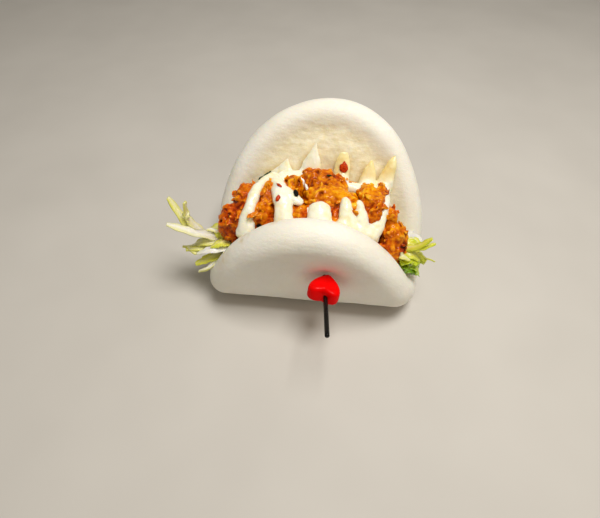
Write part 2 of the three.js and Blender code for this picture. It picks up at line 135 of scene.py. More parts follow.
# Ribbons over the heap: ends in plan, bow, height over the heap at each end, widths, thickness.
RIBBONS = (
    ((-19.4, 17), (-26.4, -2.6), -1.4, (-1.8, -1.4), (5.0, 5.2), 4.8),
    ((-26.4, 0), (-28.2, -11.5), 0.0, (-1.6, -1.4), (4.0, 8.8), 5.4),
    ((-19, 14), (-11.6, -8.5), 1.0, (-2.4, -0.6), (6.8, 8.6), 5.6),
    ((-13.5, 4), (-6.0, -0.8), 0.0, (-0.8, -1.2), (7.0, 4.0), 3.2),
    ((-3.6, 20), (-16, 17), 0.0, (-2.4, -2.6), (8.0, 8.0), 5.0),
    ((10.6, 22), (10.4, 18), 0.0, (-1.4, -4.0), (7.0, 6.0), 5.0),
    ((22.6, 21), (21.4, 16.6), 0.0, (-2.4, -4.6), (8.0, 6.4), 5.0),
    ((29.2, 19.5), (24.4, -8.5), 1.9, (-1.0, -4.0), (4.6, 7.0), 5.0),
    ((2.2, -1.8), (2.5, -8.5), 0.0, (-1.4, 0.4), (9.2, 11.0), 6.0),
    ((12.4, 0.6), (14.6, -8.5), 0.0, (-0.6, -1.0), (4.0, 9.6), 5.4),
    ((18.2, 0.4), (20, -8.5), 0.0, (-1.4, -2.4), (3.6, 9.6), 5.6),
    ((12, -6.6), (25, -7.4), 0.0, (-1.6, -3.8), (8.0, 8.0), 7.0),
    ((-14, -7.5), (12, -7.5), 0.0, (-2.4, -3.0), (6.4, 6.4), 6.0),
    ((-14, 17), (31, 16), 0.0, (-4.6, -5.0), (6.0, 6.0), 5.0),
)
RIBBON_SIDES = 20

# Widths of the faces that skins are made of, in millimetres.
FORM_FACE = 0.5
CRUST_FACE = 0.3
SAUCE_FACE = 0.42
BED_FACE = 0.7

# How far the creases between lumps are filled, and the area that each flake or spur stands on.
CREASE_FILL = 1.1
AREA_PER_FLAKE = 16.0
# Rounds of averaging round a vertex, and the span of heights from the darkest painted shade in the
# hollows to the lightest painted highlight on the crests.
RELIEF_SHADE_ROUNDS = 24
RELIEF_SHADE_SPAN = 1.6

# How deeply the pork is fried, darker at both ends partly as painted shade: x, y and a value from
# 0, deep red-brown, to 1, golden.
CRUST_TONES_AND_SHADE = (
    (-37, -4, 0.0), (-30, 8, 0.25), (-20, 6, 0.5), (-21, -4, 0.35), (-10, 9, 0.7), (-5, -3, 0.4),
    (3, 15, 0.2), (-1, 5, 0.75), (12, 5, 1.0), (9, -5, 0.1), (22, 8, 1.0), (24, -3, 0.3),
    (33, 6, 0.15), (34, -3, 0.6), (31, -10, 0.15),
)

# Places where the crust is torn open: place, radius and depth. A place marks the surface nearest
# to it, within the reach. The painted shade of a hollow grows with its depth and spreads past its
# edge.
HOLLOW_REACH = 4.0
TORN_SHADE = 0.15
TORN_SHADE_SPREAD = 1.7
HOLLOWS = (
    ((38.0, -8.5, 30.8), 2.6, 3.0),
    ((2.5, 3.4, 48.0), 1.1, 1.2),
    ((-5.0, 10.0, 48.6), 1.6, 1.2),
)

# Rings along a strip of leaf, and faces across it.
STRIP_STEPS = 44
STRIP_CELLS = 12

# Shreds of lettuce: root, middle, free end, width and greenness, from white rib at 0 or below to
# green leaf at 1. The other tables of leaf have the same columns.
SHREDS = (
    ((-42, -2, 22), (-51, -9.6, 33.4), (-61, -11.5, 39.2), 6.6, 0.0),
    ((-44, -3, 24), (-53.2, -6, 32.5), (-61.5, -2.5, 45.8), 7.4, 0.12),
    ((-49, -5, 28), (-53.8, -6, 38), (-53, -6, 47.3), 5.2, 0.12),
    ((-38, -3.5, 23), (-46, -9, 24), (-55.5, -13, 25), 4.6, 0.22),
    ((-38, -1, 21), (-48, -7, 21), (-58.2, -10, 23.4), 4.4, 0.12),
    ((-40, -8, 20), (-45, -16, 18.2), (-49.9, -18, 16.8), 2.6, 0.05),
    ((-38, 3, 23), (-44, -3, 24.4), (-49, -7, 24), 6.0, 0.22),
    ((38, -3, 25), (44.5, -6, 30), (49.8, -6, 35.9), 4.4, 0.36),
    ((38, -2, 24), (45.8, -6, 29.4), (51.9, -6, 32.9), 4.8, 0.3),
    ((46.4, 0.4, 20), (45.4, 3, 24.4), (41.4, 3, 29.0), 8.0, -0.3),
)
TORN_LEAVES = (
    ((38, -2, 23), (44.4, -8, 22.5), (48, -10.5, 16.6), 9.0, 0.62),
    ((38, 0, 22), (45, -4, 24), (50, -6.5, 20.5), 6.0, 0.42),
)
# Crumpled scraps beside the torn leaves, made here only.
LEAF_SCRAPS = (
    ((34, -7, 25), (41, -9, 26), (47.5, -8, 22), 8.0, 0.5),
    ((36, -8, 22), (41, -10.6, 22.5), (46, -11.5, 18.5), 7.0, 0.75),
)
# Fine threads and short shreds, made here only.
THREADS = (
    ((-40, -9, 20), (-45, -16.5, 17.6), (-50, -18.5, 16.6), 1.2, 0.1),
    ((46, -6.5, 27), (49.6, -7.5, 24), (49.4, -8, 20.8), 0.8, 0.3),
    ((49, -7.2, 24.4), (51.5, -7.6, 24.2), (53.8, -8, 23.3), 0.7, 0.3),
    ((-37, -10, 25), (-45, -13, 26), (-50.6, -13.4, 23.4), 4.6, -0.25),
    ((-37, -8, 26.5), (-41, -10, 27.4), (-47, -12, 24.4), 5.6, 0.3),
    ((-40, -6, 24), (-48, -8.5, 26.5), (-54, -9.5, 23), 6.0, 0.16),
    ((-42, -8, 23), (-51, -12, 23), (-55, -12, 25.6), 4.0, 0.14),
    ((-40, -8, 20), (-46.5, -13, 20), (-52, -15, 17.8), 5.4, 0.26),
    ((34, -9, 28.5), (38, -10.6, 29), (42, -11, 26.6), 4.2, 0.15),
    ((39, -6, 26), (43, -7.6, 26.4), (47, -8, 23.5), 5.0, 0.36),
)
# Short random shreds at the left, -1, and the right, 1: side, number, and ranges of height, reach,
# heading and greenness.
TUFTS = (
    (-1, 9, (18, 25), (9, 15), (-0.9, 0.15), (0.0, 0.3)),
    (1, 4, (16, 20), (7, 11), (-0.9, -0.3), (0.2, 0.7)),
)
# The dark sliver behind the left band of sauce.
LEAF_SLIVER = ((-27.8, 17.4, 34.5), (-24.6, 20.4, 39.2), (-21.2, 22, 42.4), 5.0, 1.0)

# What lies on the filling: x, y, half sizes, turn about the surface's normal, roughness and
# how far it tapers.
SESAME_AND_DARK_MARK = (
    (-8.1, 2.2, (1.15, 2.3, 0.8), -105 * DEG, 0.08, 0.45),
    # A second black grain, set on a small dark mark at the front lip and partly under the pork.
    (-22.1, -8.6, (0.9, 1.6, 0.7), -80 * DEG, 0.08, 0.45),
)
CHILI = (
    (11.2, 23.2, (1.8, 2.4, 0.6), 4 * DEG, 0.3, 0.8),
    (-15.4, 5.2, (1.6, 0.6, 0.4), -125 * DEG, 0.5, 0.3),
    (-15, -1.6, (0.9, 1.4, 0.5), 10 * DEG, 0.4, 0.2),
)
HERB = ((5.0, 14.2, (0.5, 1.3, 0.3), 20 * DEG, 0.4, 0.3),)
WHITE_BITS = (
    (18.8, 13.4, (1.4, 0.9, 0.8), 0.0, 0.5, 0.2),
    (-4.2, 8.4, (1.7, 0.7, 0.5), 0.0, 0.5, 0.2),
    (-2.4, -3.0, (1.5, 0.8, 0.6), 0.0, 0.5, 0.2),
)
# Crumbs: the middle of each cluster, its spread and its number.
CRUMBS = ((14.6, 19.5, 2.0, 9), (27.5, 15.5, 1.8, 6), (-23, -8, 0.8, 2), (22, 17, 1.6, 3))

# Looks of what lies on the filling: darker and lighter colour, and roughness.
SPECK_LOOKS = {
    "black_sesame_and_mark": ((2, 2, 3), (14, 13, 14), 0.5),
    "chili_flakes": ((140, 14, 2), (232, 84, 22), 0.3),
    "herb_fleck": ((14, 24, 4), (50, 62, 16), 0.5),
    "crust_crumbs": ((214, 110, 10), (248, 190, 80), 0.4),
    "white_bits": ((246, 238, 220), (255, 252, 244), 0.3),
}

# The stage: half the floor in millimetres, the world's soft light, and the lamps in metres: name,
# place, aim, width, power and colour.
FLOOR_HALF = 3000.0
WORLD_COLOUR = (1.0, 0.94, 0.84, 1)
WORLD_STRENGTH = 0.24
LAMPS = (
    ("key", (0.1, -0.01, 0.54), (0, 0.01, 0.03), 0.22, 2.45, (1.0, 0.98, 0.94)),
    ("fill", (0.3, -0.25, 0.45), (0, 0, 0.03), 0.4, 0.3, (1.0, 0.86, 0.68)),
)

# Camera: lens and sensor in millimetres, place and line of sight in the part's frame.
CAMERA_LENS = 24.6
CAMERA_SENSOR = 36
CAMERA_AT = (5.80, -123.91, 163.63)
CAMERA_FORWARD = (-0.0599, 0.622, -0.780)


# Helpers for shapes

def piece_from(name, points, faces, material):
    """A smoothly shaded mesh object from points in millimetres."""
    mesh = bpy.data.meshes.new(name)
    mesh.from_pydata((np.asarray(points, dtype=float) * MM).tolist(), [], faces)
    mesh.update()
    mesh.shade_smooth()
    mesh.materials.append(material)
    piece = bpy.data.objects.new(name, mesh)
    bpy.context.collection.objects.link(piece)
    return piece


def rows_of(collection, key):
    flat = np.empty(len(collection) * 3)
    collection.foreach_get(key, flat)
    return flat.reshape(-1, 3)


def points_of(mesh):
    """The vertices in millimetres."""
    return rows_of(mesh.vertices, "co") / MM


def normals_of(mesh):
    """The way out at each vertex."""
    return rows_of(mesh.vertex_normals, "vector")


def shape_of(mesh):
    """The vertices in millimetres and the faces."""
    return points_of(mesh), [tuple(polygon.vertices) for polygon in mesh.polygons]


def set_points(mesh, points):
    """Moves the vertices to points in millimetres."""
    mesh.vertices.foreach_set("co", (np.asarray(points) * MM).ravel())
    mesh.update()


def swell(mesh, rise):
    """Moves vertices out along their normals by one rise or by one for each."""
    rises = np.broadcast_to(rise, len(mesh.vertices))
    moved = points_of(mesh) + normals_of(mesh) * rises[:, None]
    set_points(mesh, moved)
    return moved


def set_attribute(mesh, name, values):
    """Stores a number from 0 to 1 for each vertex, for the materials."""
    layer = mesh.attributes.new(name, "FLOAT", "POINT")
    layer.data.foreach_set("value", np.clip(values, 0, 1).astype(np.float32))


def fractal(points, size, octaves, seed):
    """Noise between about -1 and 1, `size` millimetres across."""
    offset = Vector((seed * 17.3, seed * 5.1, seed * 29.7))
    return np.array([
        noise.fractal(Vector(p) / size + offset, 1.0, 2.0, octaves) for p in points
    ])


def cells(points, size, seed):
    """Distance to the nearest scattered centre, in cells `size` millimetres across."""
    offset = Vector((seed * 11.9, seed * 3.7, seed * 23.1))
    return np.array([noise.voronoi(Vector(p) / size + offset)[0][0] for p in points])


def smoothstep(low, high, values):
    """0 at low, 1 at high and smooth between them."""
    share = np.clip((np.asarray(values) - low) / (high - low), 0.0, 1.0)
    return share * share * (3 - 2 * share)


def applied(piece, kind, **settings):
    """Runs a modifier on a piece and keeps the result as its mesh."""
    modifier = piece.modifiers.new(kind.title(), kind)
    for key, value in settings.items():
        setattr(modifier, key, value)
    graph = bpy.context.evaluated_depsgraph_get()
    result = bpy.data.meshes.new_from_object(piece.evaluated_get(graph))
    old = piece.data
    piece.modifiers.clear()
    piece.data = result
    result.name = piece.name
    bpy.data.meshes.remove(old)
    return piece


def remeshed(piece, face):
    """Melts a piece's bodies into one skin with faces this wide."""
    return applied(piece, "REMESH", mode="VOXEL", voxel_size=face * MM, use_smooth_shade=True)


def smoothed(piece, rounds):
    return applied(piece, "SMOOTH", factor=0.5, iterations=rounds)


def placed(piece, slot, *nodes):
    """Rides a piece on the one body and in the place of its nodes; the slot is not used."""
    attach(piece, "root")
    if nodes:
        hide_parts(*nodes)
    return piece


def unit(vector):
    return vector / np.linalg.norm(vector)


def curve_through(stations, steps):
    """Catmull-Rom points through rows of numbers."""
    rows = np.asarray(stations, dtype=float)
    ahead = np.vstack([2 * rows[0] - rows[1], rows, 2 * rows[-1] - rows[-2]])
    result = []
    for t in np.linspace(0, len(rows) - 1, steps):
        i = min(int(t), len(rows) - 2)
        u = t - i
        a, b, c, d = ahead[i:i + 4]
        result.append(0.5 * (2 * b + (c - a) * u + (2 * a - 5 * b + 4 * c - d) * u ** 2
                             + (3 * b - a - 3 * c + d) * u ** 3))
    return np.array(result)


def frames_along(path):
    """Unit directions along, across and over a path of points."""
    along = np.gradient(path, axis=0)
    along /= np.linalg.norm(along, axis=1)[:, None]
    across = np.cross(along, UP)
    across /= np.linalg.norm(across, axis=1)[:, None]
    return along, across, np.cross(across, along)


def tube(rings):
    """A shape through rings of points, with one face over each end."""
    count, sides = len(rings), len(rings[0])
    faces = []
    for i in range(count - 1):
        for j in range(sides):
            k = (j + 1) % sides
            faces.append((i * sides + j, i * sides + k, (i + 1) * sides + k, (i + 1) * sides + j))
    faces.append(tuple(reversed(range(sides))))
    faces.append(tuple(range((count - 1) * sides, count * sides)))
    return np.concatenate(rings), faces


def ball(subdivisions):
    """Points all round a unit sphere and its faces."""
    shape = bmesh.new()
    bmesh.ops.create_icosphere(shape, subdivisions=subdivisions, radius=1.0)
    points = [vertex.co.copy() for vertex in shape.verts]
    faces = [tuple(v.index for v in face.verts) for face in shape.faces]
    shape.free()
    return points, faces


def merged(shapes):
    """Several shapes as one."""
    points, faces = [], []
    for shape_points, shape_faces in shapes:
        start = len(points)
        points.extend(np.asarray(shape_points).tolist())
        faces.extend([start + i for i in face] for face in shape_faces)
    return points, faces


def joined(name, shapes, material):
    return piece_from(name, *merged(shapes), material)


# Helpers for materials

class Finish:
    """A procedural material built round one Principled shader."""

    def __init__(self, name, **sockets):
        self.material = bpy.data.materials.new(name)
        self.material.use_nodes = True
        self.tree = self.material.node_tree
        self.shader = self.tree.nodes["Principled BSDF"]
        for key, value in sockets.items():
            self.shader.inputs[key.replace("_", " ")].default_value = value
        self.place = self.node("TexCoord").outputs["Object"]

    def feed(self, socket, value):
        """Sets a socket to a value, or links another node's output to it."""
        if isinstance(value, bpy.types.NodeSocket):
            self.tree.links.new(value, socket)
        else:
            socket.default_value = value

    def node(self, kind, **sockets):
        """A new node with these sockets fed."""
        node = self.tree.nodes.new("ShaderNode" + kind)
        for key, value in sockets.items():
            self.feed(node.inputs[key], value)
        return node

    def stretched(self, scale):
        """The place, scaled apart along each axis for streaks."""
        return self.node("Mapping", Vector=self.place, Scale=scale).outputs["Vector"]

    def noise(self, size, detail=4.0, roughness=0.55, place=None):
        """Noise with features `size` millimetres across."""
        return self.node("TexNoise", Vector=place or self.place, Scale=1 / (size * MM),
                         Detail=detail, Roughness=roughness).outputs["Fac"]

    def cells(self, size):
        """Distance to the nearest centre, in cells `size` millimetres across."""
        node = self.node("TexVoronoi", Vector=self.place, Scale=1 / (size * MM))
        return node.outputs["Distance"]

    def attribute(self, name):
        """A number stored for each vertex."""
        node = self.node("Attribute")
        node.attribute_name = name
        return node.outputs["Fac"]

    def ramp(self, value, *stops):
        """Colours or greys against a value: stops are (position, colour on screen or grey)."""
        node = self.node("ValToRGB", Fac=value)
        elements = node.color_ramp.elements
        while len(elements) < len(stops):
            elements.new(0.5)
        for element, (position, colour) in zip(elements, stops):
            element.position = position
            element.color = paint(*colour) if isinstance(colour, tuple) else (colour,) * 3 + (1,)
        return node.outputs["Color"]

    def mix(self, share, first, second):
        """The first colour at a share of 0 and the second at 1."""
        node = self.node("Mix")
        node.data_type = "RGBA"
        for key, value in (("Factor", share), ("A", first), ("B", second)):
            self.feed(node.inputs[key], value)
        return node.outputs["Result"]

    def total(self, *terms, start=0.0):
        """A start and the sum of (value, weight) terms, held between 0 and 1."""
        result = start
        for term in terms:
            node = self.node("Math")
            node.operation = "MULTIPLY_ADD"
            for socket, value in zip(node.inputs, (*term, result)):
                self.feed(socket, value)
            result = node.outputs["Value"]
        node.use_clamp = True
        return result

    def colour(self, value):
        self.feed(self.shader.inputs["Base Color"], value)

    def roughness(self, value):
        self.feed(self.shader.inputs["Roughness"], value)

    def bump(self, *layers):
        """Bumps from (height, depth in millimetres) layers, one over the other."""
        below = {}
        for height, depth in layers:
            node = self.node("Bump", Height=height, Distance=depth * MM, **below)
            below = {"Normal": node.outputs["Normal"]}
        self.feed(self.shader.inputs["Normal"], below["Normal"])


def paint(red, green, blue):
    """A colour on screen, 0 to 255, turned to linear light."""
    def linear(value):
        share = value / 255
        return share / 12.92 if share <= 0.04045 else ((share + 0.055) / 1.055) ** 2.4
    return (linear(red), linear(green), linear(blue), 1.0)


def dough_material():
    """Smooth steamed skin, streaky in the valley, and tan where oil lies, with painted shade at the
    lip's ends and next to the sauce.
    """
    finish = Finish("steamed_dough", Roughness=0.5, Subsurface_Weight=0.35, Subsurface_Scale=0.004,
                    Subsurface_Radius=(1.0, 0.75, 0.45), IOR=1.4, Specular_IOR_Level=0.35)
    valley = finish.attribute("valley")
    mottle = finish.noise(3.2, 6.0, 0.65)
    broad = finish.noise(17.0, 3.0)
    streaks = finish.noise(2.2, 5.0, 0.7, place=finish.stretched((0.45, 1.0, 1.0)))
    smooth_skin = finish.ramp(broad, (0.3, (240, 235, 220)), (0.7, (246, 242, 231)))
    pressed = finish.ramp(streaks, (0.32, (214, 197, 147)), (0.5, (232, 220, 181)),
                          (0.68, (243, 236, 209)))
    clouds = finish.ramp(broad, (0.35, 0.0), (0.65, 1.0))
    clouded = finish.mix(clouds, pressed, paint(238, 225, 188))
    patchy = finish.ramp(mottle, (0.3, 0.55), (0.6, 1.0))
    share = finish.total((valley, patchy))
    blotch = finish.ramp(finish.noise(8.0, 4.0, 0.6), (0.62, 0.0), (0.78, 0.35))
    base = finish.mix(blotch, smooth_skin, paint(228, 216, 188))
    skin = finish.mix(share, base, clouded)
    # Tan where oil lies, with painted warm shade at the front lip's ends and painted contact shade
    # next to the sauce.
    finish.colour(finish.mix(finish.attribute("stain_and_shade"), skin, paint(214, 188, 128)))
    finish.roughness(finish.ramp(mottle, (0.3, 0.42), (0.7, 0.6)))
    fine = finish.noise(0.9, 4.0, 0.6)
    finish.bump((streaks, 0.35), (fine, 0.06))
    return finish.material


def crust_material():
    """Crust from deep red-brown to golden by how deeply it is fried and by painted shade, with
    painted shade in its hollows and painted highlights on its crests.
    """
    finish = Finish("fried_crust", Subsurface_Weight=0.06, Subsurface_Scale=0.0008,
                    Subsurface_Radius=(1.0, 0.35, 0.05), Specular_IOR_Level=0.1,
                    Coat_Weight=0.2, Coat_Roughness=0.05, IOR=1.4)
    granules = finish.noise(1.5, 4.0, 0.6)
    patches = finish.noise(3.6, 4.0, 0.6)
    # Painted shade where the relief is low and painted highlights on its crests, broken up by noise
    # and granules.
    height = finish.total((finish.attribute("relief_shade_and_highlight"), 0.45), (finish.noise(2.6, 2.0), 0.3),
                          (granules, 0.25))
    golden = finish.ramp(height, (0.3, (146, 58, 0)), (0.41, (200, 96, 0)), (0.5, (226, 134, 0)),
                         (0.59, (244, 172, 10)), (0.72, (254, 216, 70)))
    reddish = finish.ramp(height, (0.3, (62, 8, 0)), (0.42, (128, 32, 0)), (0.51, (188, 68, 0)),
                          (0.62, (224, 112, 4)), (0.76, (244, 170, 36)))
    # How deeply fried, with painted shade at the ends and in the torn hollows, broken up by
    # patches.
    fry_tone_and_shade = finish.total((finish.attribute("fry_tone_and_shade"), 1.0), (patches, 2.6), start=-1.3)
    finish.colour(finish.mix(fry_tone_and_shade, reddish, golden))
    finish.roughness(finish.ramp(granules, (0.35, 0.2), (0.65, 0.5)))
    finish.bump((patches, 0.25), (granules, 0.3))
    return finish.material


def mayonnaise_material():
    """Glossy cream, yellower where the layer is thin over the dough and as painted shade in the
    hollows of its surface.
    """
    finish = Finish("mayonnaise", Roughness=0.22, Subsurface_Weight=0.6, Subsurface_Scale=0.003,
                    Subsurface_Radius=(1.0, 0.85, 0.6), IOR=1.42, Coat_Weight=0.25,
                    Coat_Roughness=0.1)
    thin_and_hollow_shade = finish.attribute("thin_and_hollow_shade")
    soft = finish.noise(6.0, 3.0)
    thick = finish.ramp(soft, (0.3, (251, 241, 206)), (0.7, (255, 250, 234)))
    film_and_shade = finish.ramp(soft, (0.3, (242, 216, 134)), (0.7, (250, 232, 172)))
    # Yellow where the layer is thin, and yellow as painted shade in its hollows.
    finish.colour(finish.mix(thin_and_hollow_shade, thick, film_and_shade))
    bubbles = finish.ramp(finish.cells(1.7), (0.06, 0.0), (0.16, 1.0))
    finish.bump((soft, 0.3), (bubbles, 0.05))
    return finish.material


def lettuce_material():
    """Moist leaf, from white rib to green by its "green"."""
    finish = Finish("lettuce", Roughness=0.3, Subsurface_Weight=0.5, Subsurface_Scale=0.003,
                    Subsurface_Radius=(0.9, 1.0, 0.4), IOR=1.35, Coat_Weight=0.15,
                    Coat_Roughness=0.15, Transmission_Weight=0.1)
    shade = finish.total((finish.attribute("green"), 0.85), (finish.noise(4.0, 4.0), 0.2))
    leaf = finish.ramp(shade, (0.1, (252, 250, 232)), (0.26, (246, 242, 176)),
                       (0.42, (234, 232, 92)), (0.62, (198, 216, 34)), (0.8, (124, 172, 20)),
                       (0.97, (64, 116, 6)))
    finish.colour(leaf)
    veins = finish.noise(1.4, 4.0, 0.6, place=finish.stretched((0.25, 1.0, 1.0)))
    finish.bump((veins, 0.2))
    return finish.material


def heart_material():
    finish = Finish("heart_gloss", Roughness=0.38, IOR=1.45, Specular_IOR_Level=0.06,
                    Coat_Weight=0.05, Coat_Roughness=0.12, Subsurface_Weight=0.1,
                    Subsurface_Scale=0.001)
    swirl = finish.noise(7.0, 2.0)
    finish.colour(finish.ramp(swirl, (0.3, (226, 0, 0)), (0.7, (242, 2, 2))))
    finish.bump((finish.noise(2.5, 2.0), 0.03))
    return finish.material


def lacquer_material():
    finish = Finish("black_lacquer", Roughness=0.25, IOR=1.45, Specular_IOR_Level=0.15,
                    Coat_Weight=0.2, Coat_Roughness=0.06)
    grain = finish.noise(0.5, 5.0, 0.6, place=finish.stretched((1.0, 0.06, 1.0)))
    finish.colour(finish.ramp(grain, (0.4, (6, 6, 6)), (0.75, (26, 24, 22))))
    finish.bump((grain, 0.08))
    return finish.material


def grained_material(name, dark, light, size, depth, **sockets):
    """A material between two colours, with a grain of this size and depth."""
    finish = Finish(name, IOR=1.4, **sockets)
    grain = finish.noise(size)
    finish.colour(finish.ramp(grain, (0.3, dark), (0.7, light)))
    finish.bump((grain, depth))
    return finish.material


# The bun

def middle_line(along):
    """The middle of the dough's thickness: y, z and the unit way in towards the filling."""
    reach = np.abs(along)
    side = np.where(along >= 0, 1.0, -1.0)
    steepness = np.where(along >= 0, BACK_STEEPNESS, FRONT_STEEPNESS)
    curl = np.where(along >= 0, BACK_CURL, 0.0)
    flat = np.minimum(reach, BASE_HALF_FLAT)
    bend = np.clip(reach - BASE_HALF_FLAT, 0, BEND_RADIUS * steepness)
    rest = reach - flat - bend
    turned = bend / BEND_RADIUS
    mean_heading = turned + curl * rest / 2
    y = flat + BEND_RADIUS * np.sin(turned) + rest * np.cos(mean_heading)
    z = THICKNESS / 2 + BEND_RADIUS * (1 - np.cos(turned)) + rest * np.sin(mean_heading)
    heading = turned + curl * rest
    return side * y, z, -side * np.sin(heading), np.cos(heading)


def dough_points(angle, share, level):
    """Points of the folded dough, their distance from its edge and place along it."""
    centre = BACK_REACH - HALF_LENGTH
    wander = 1 + 0.006 * np.sin(3 * angle + 0.7) + 0.005 * np.sin(5 * angle + 2.1)
    edge_x = HALF_WIDTH * wander * np.cos(angle)
    edge_along = HALF_LENGTH * wander * np.sin(angle)
    from_edge = (1 - share) * np.hypot(edge_x, edge_along)
    along = centre + edge_along * share
    y, z, in_y, in_z = middle_line(along)
    dent = DIP["depth"] * np.exp(-(((from_edge - DIP["from_edge"]) / DIP["width"]) ** 2))
    out = level * THICKNESS / 2 - np.where(level > 0, dent, 0.0)
    x = edge_x * share + ASKEW * np.maximum(0, along)
    points = np.stack([x, y + in_y * out, np.maximum(z + in_z * out - SETTLING, 0.0)], -1)
    return points, from_edge, along


def dough_steps(angle):
    """Share and level of each ring, from the inner side round the edge to the outer."""
    reach = np.hypot(HALF_WIDTH * np.cos(angle), HALF_LENGTH * np.sin(angle))
    flat = 1 - THICKNESS / 2 / reach
    inner = flat * np.arange(1, INNER_RINGS + 1) / INNER_RINGS
    outer = flat * np.arange(OUTER_RINGS, 0, -1) / OUTER_RINGS
    turn = math.pi * np.arange(1, EDGE_RINGS) / EDGE_RINGS
    share = np.concatenate([inner, flat + (1 - flat) * np.sin(turn), outer])
    level = np.concatenate([np.ones(len(inner)), np.cos(turn), -np.ones(len(outer))])
    return share, level


def dough_grid():
    """The dough's points and faces, with what dough_points says and the level of each."""
    angles = math.tau * np.arange(BUN_COLUMNS) / BUN_COLUMNS
    columns = [dough_steps(angle) for angle in angles]
    shares = np.array([0.0, 0.0] + [s for share, _ in columns for s in share])
    levels = np.array([1.0, -1.0] + [l for _, level in columns for l in level])
    rings = len(columns[0][0])
    turns = np.concatenate([[0.0, 0.0], np.repeat(angles, rings)])
    points, from_edge, along = dough_points(turns, shares, levels)
    faces = []
    for j in range(BUN_COLUMNS):
        a = 2 + j * rings
        b = 2 + ((j + 1) % BUN_COLUMNS) * rings
        faces.append((0, a, b))
        faces.append((1, b + rings - 1, a + rings - 1))
        faces.extend((a + i, a + i + 1, b + i + 1, b + i) for i in range(rings - 1))
    return points, faces, from_edge, along, levels


def oiled_and_shaded(points, sauce):
    """How much each point is tanned by the sauce's oil and by painted contact shade beside the
    sauce.
    """
    surface = surface_of(sauce)
    apart = [surface.find_nearest(Vector(p), OIL_AND_SHADE_REACH)[3] for p in points]
    return smoothstep(OIL_AND_SHADE_REACH, 0, [OIL_AND_SHADE_REACH if gap is None else gap for gap in apart])


def dough_relief(points, valley):
    """Broad waves all over the skin, and a pressed grain in the valley."""
    waves = 0.3 * fractal(points, 26, 2, 1) + 0.1 * fractal(points, 8, 2, 2)
    return waves + valley * (0.3 * fractal(points, 5, 3, 3) + 0.12 * fractal(points, 2.2, 2, 4))


def heart_dent(points):
    """How far the heart would press each point inwards."""
    away_x = (points[:, 0] - DIMPLE["at"][0]) / DIMPLE["half"][0]
    away_z = (points[:, 2] - DIMPLE["at"][1]) / DIMPLE["half"][1]
    return DIMPLE["push"] * np.exp(-(away_x ** 2 + away_z ** 2))


def smudged_and_shaded(points):
    """How strongly the smudges of oil, with the painted warm shade at the lip's ends, colour each
    point.
    """
    stain_and_shade = np.zeros(len(points))
    for place, radius, strength in STAINS_AND_SHADE:
        middle = points[np.linalg.norm(points - place, axis=1).argmin()]
        apart = np.linalg.norm(points - middle, axis=1)
        stain_and_shade += strength * smoothstep(radius, 0.2 * radius, apart)
    return stain_and_shade * (0.5 + 0.8 * fractal(points, 2.4, 3, 5))


def make_bun(material, sauce):
    """The folded dough, pressed inside its back flap, and tan where the sauce lies, partly oil and
    partly painted contact shade.
    """
    points, faces, from_edge, along, levels = dough_grid()
    bun = piece_from("bun_dough", points, faces, material)
    inner = smoothstep(0.2, 0.9, levels)
    valley = inner * smoothstep(RIM_BAND - 2.5, RIM_BAND + 6, from_edge)
    valley *= smoothstep(10, 30, along) * 0.7 + 0.3
    standing = smoothstep(0.0, 3.0, points[:, 2])
    relief = dough_relief(points, valley) * standing
    moved = points + normals_of(bun.data) * relief[:, None]
    outside_front = smoothstep(-0.4, -0.8, levels) * (along < 0)
    moved[:, 1] += heart_dent(points) * outside_front
    set_points(bun.data, moved)
    # Oil smudges and painted warm shade at the lip's ends, and oil with painted contact shade next
    # to the sauce.
    stain_and_shade = smudged_and_shaded(moved) + OIL_AND_SHADE_STRENGTH * inner * oiled_and_shaded(moved, sauce)
    set_attribute(bun.data, "valley", valley)
    set_attribute(bun.data, "stain_and_shade", stain_and_shade)
    return placed(bun, "dough", "bun")


# The pork

def surface_samples(mesh, count, rng):
    """Places on a mesh nearest to random points, with the way out at each."""
    points, outward = points_of(mesh), normals_of(mesh)
    spots = rng.uniform(points.min(axis=0), points.max(axis=0), (count, 3))
    nearest = [np.linalg.norm(points - spot, axis=1).argmin() for spot in spots]
    return zip(points[nearest], outward[nearest])


def flake(rng, at, outward):
    """A torn scrap of crust: a thin lumpy plate that stands off the surface at a slant."""
    half = np.array([rng.uniform(1.4, 2.8), rng.uniform(0.8, 1.6), rng.uniform(0.35, 0.5)])
    lying = unit(np.cross(outward, rng.normal(size=3)))
    sideways = np.cross(outward, lying)
    lying = unit(lying + outward * rng.uniform(0.0, 0.6))
    turn = np.stack([lying, sideways, np.cross(lying, sideways)], axis=1)
    offset = Vector(rng.uniform(-50, 50, 3))
    ways, faces = ball(2)
    points = []
    for way in ways:
        bulge = 1 + 0.8 * noise.noise(way * 2.1 + offset)
        points.append(turn @ (np.array(way) * half * bulge) + at + lying * half[0] * 0.3)
    return points, faces


def spur(rng, at, outward):
    """A crisp point of crust: a small bent cone that stands off the surface at a slant."""
    sides = 6
    lean = unit(np.cross(outward, rng.normal(size=3)))
    heading = unit(outward * rng.uniform(0.35, 1.0) + lean * rng.uniform(0.2, 1.0))
    sideways = unit(np.cross(heading, lean))
    across = np.cross(sideways, heading)
    length = rng.uniform(0.6, 1.9)
    width = rng.uniform(0.6, 1.3)
    bend = sideways * rng.uniform(-0.8, 0.8)
    rings = []
    for share in (-0.4, 0.1, 0.5, 0.85, 1.0):
        centre = at + heading * (length * share) + bend * share ** 2
        radius = width * (1 - 0.75 * max(share, 0.0))
        ring = []
        for j in range(sides):
            turn = math.tau * j / sides
            aside = across * math.cos(turn) + 0.7 * sideways * math.sin(turn)
            ring.append(centre + radius * aside)
        rings.append(ring)
    return tube(rings)


